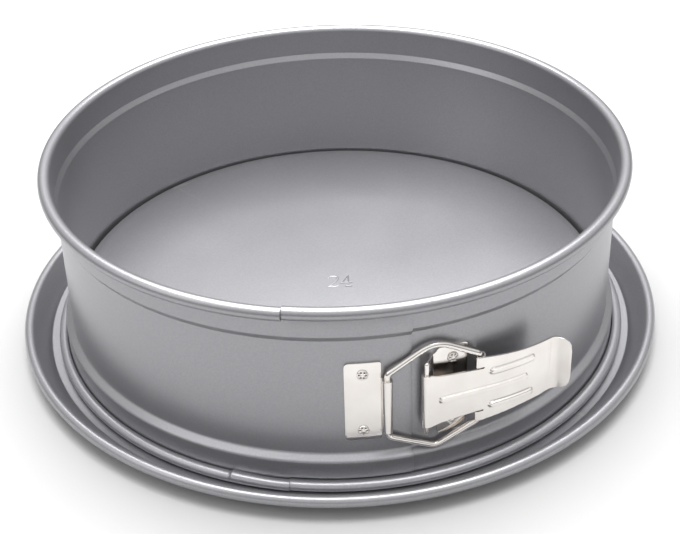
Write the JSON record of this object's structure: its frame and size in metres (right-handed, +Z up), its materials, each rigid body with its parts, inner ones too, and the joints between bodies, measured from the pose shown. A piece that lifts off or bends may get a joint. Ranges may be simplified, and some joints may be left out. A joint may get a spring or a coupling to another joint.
{
  "type": "springform pan",
  "caption": "Round springform pan: a rimmed base plate with a raised platform and a removable side ring closed by a wire loop and lever latch.",
  "frame": {"origin": "pan axis at the level of the table the pan stands on", "axes": "+Z up along the pan's axis, -Y toward the latch, +X to the right when facing the latch"},
  "size_m": [0.2856, 0.2856, 0.0863],
  "materials": {
    "coating": "satin silver-grey metallic non-stick coating on steel sheet",
    "plating": "bright nickel-like plating on steel"
  },
  "bodies": {
    "base": {"base_plate": "coating"},
    "ring": {"band_back": "coating"},
    "ring_left": {"band_left": "coating", "catch_plate": "plating", "catch_rivet_upper": "plating", "catch_rivet_lower": "plating"},
    "ring_right": {"band_right": "coating", "lever_bracket": "plating", "bracket_rivet_upper": "plating", "bracket_rivet_lower": "plating"},
    "lever": {"lever": "plating"},
    "bail": {"bail": "plating"}
  },
  "joints": [
    {"name": "ring_lift", "type": "slide", "parent": "base", "child": "ring", "axis": [0, 0, 1], "range_m": [0, 0.1]},
    {"name": "ring_left_open", "type": "hinge", "parent": "ring", "child": "ring_left", "pos_m": [-0.1276, 0, 0], "axis": [0, 0, -1], "range_deg": [0, 1.8]},
    {"name": "ring_right_open", "type": "hinge", "parent": "ring", "child": "ring_right", "pos_m": [0.1276, 0, 0], "axis": [0, 0, 1], "range_deg": [0, 1.8]},
    {"name": "lever_swing", "type": "hinge", "parent": "ring_right", "child": "lever", "pos_m": [0.0319, -0.1205, 0], "axis": [0, 0, -1], "range_deg": [0, 82.33]},
    {"name": "bail_swing", "type": "hinge", "parent": "ring_left", "child": "bail", "pos_m": [0.01699, -0.12272, 0], "axis": [0, 0, -1], "range_deg": [0, 39]}
  ],
  "couplings": [
    {"joint": "ring_left_open", "follows": "lever_swing", "ratio": 0.021256},
    {"joint": "ring_right_open", "follows": "lever_swing", "ratio": 0.021256},
    {"joint": "bail_swing", "follows": "lever_swing", "ratio": 0.4677}
  ]
}
